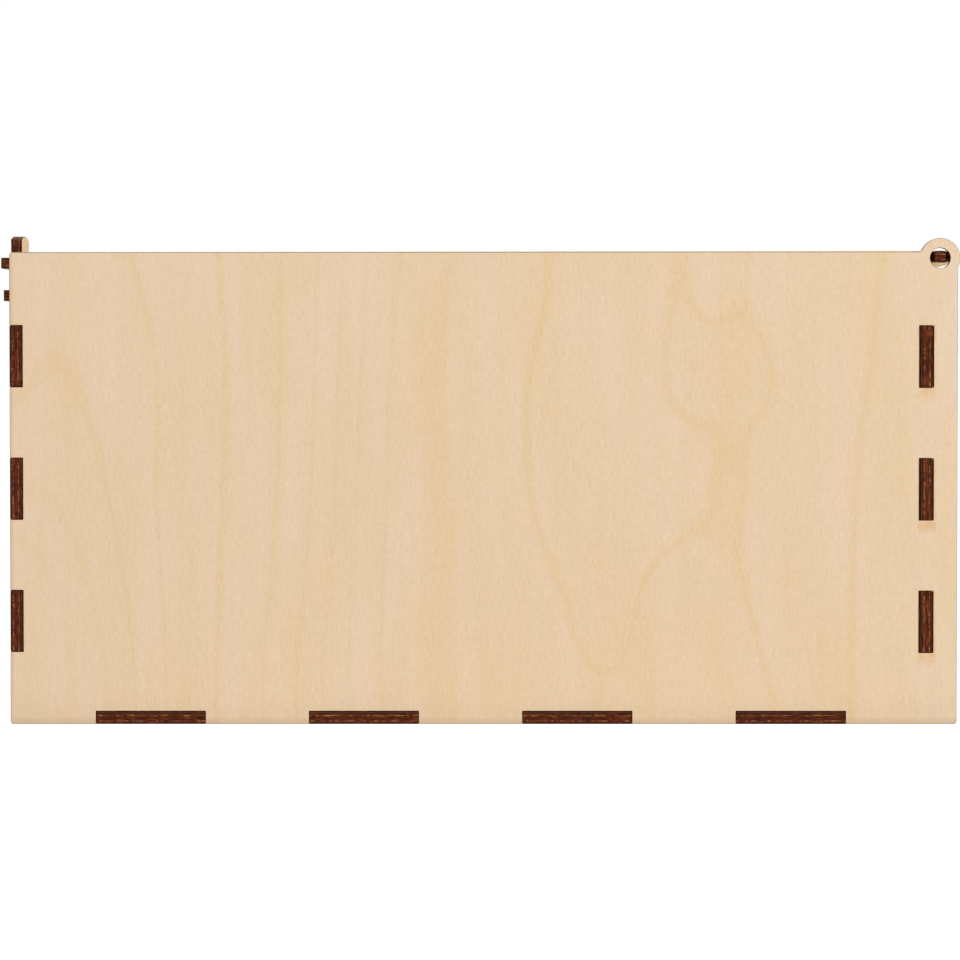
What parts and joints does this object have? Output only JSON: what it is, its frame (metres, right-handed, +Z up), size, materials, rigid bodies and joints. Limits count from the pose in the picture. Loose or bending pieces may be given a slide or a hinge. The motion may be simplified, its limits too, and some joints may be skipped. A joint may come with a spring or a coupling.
{
  "type": "hinged gift box",
  "caption": "Rectangular finger-jointed plywood keepsake box whose lid turns on pins in the side panels' ears and is closed by a drop-in key through a slotted tongue and bracket.",
  "frame": {"origin": "on the floor panel's underside, midway along and across the side panels", "axes": "+X from the front, where the closure is, to the hinged rear, +Y from the near side to the far side, +Z up"},
  "size_m": [0.2571, 0.18, 0.1295],
  "materials": {
    "birch_plywood": "matt"
  },
  "bodies": {
    "box": {"side_panel_near": "birch_plywood", "side_panel_far": "birch_plywood", "front_panel": "birch_plywood", "back_panel": "birch_plywood", "floor_panel": "birch_plywood", "latch_bracket": "birch_plywood"},
    "lid": {"lid_panel": "birch_plywood"},
    "key": {"latch_key": "birch_plywood"}
  },
  "joints": [
    {"name": "lid_hinge", "type": "hinge", "parent": "box", "child": "lid", "pos_m": [0.1191, 0, 0.122], "axis": [0, 1, 0], "range_deg": [0, 92.5]},
    {"name": "latch_key_lift", "type": "slide", "parent": "lid", "child": "key", "axis": [0, 0, 1], "range_m": [0, 0.015]}
  ]
}
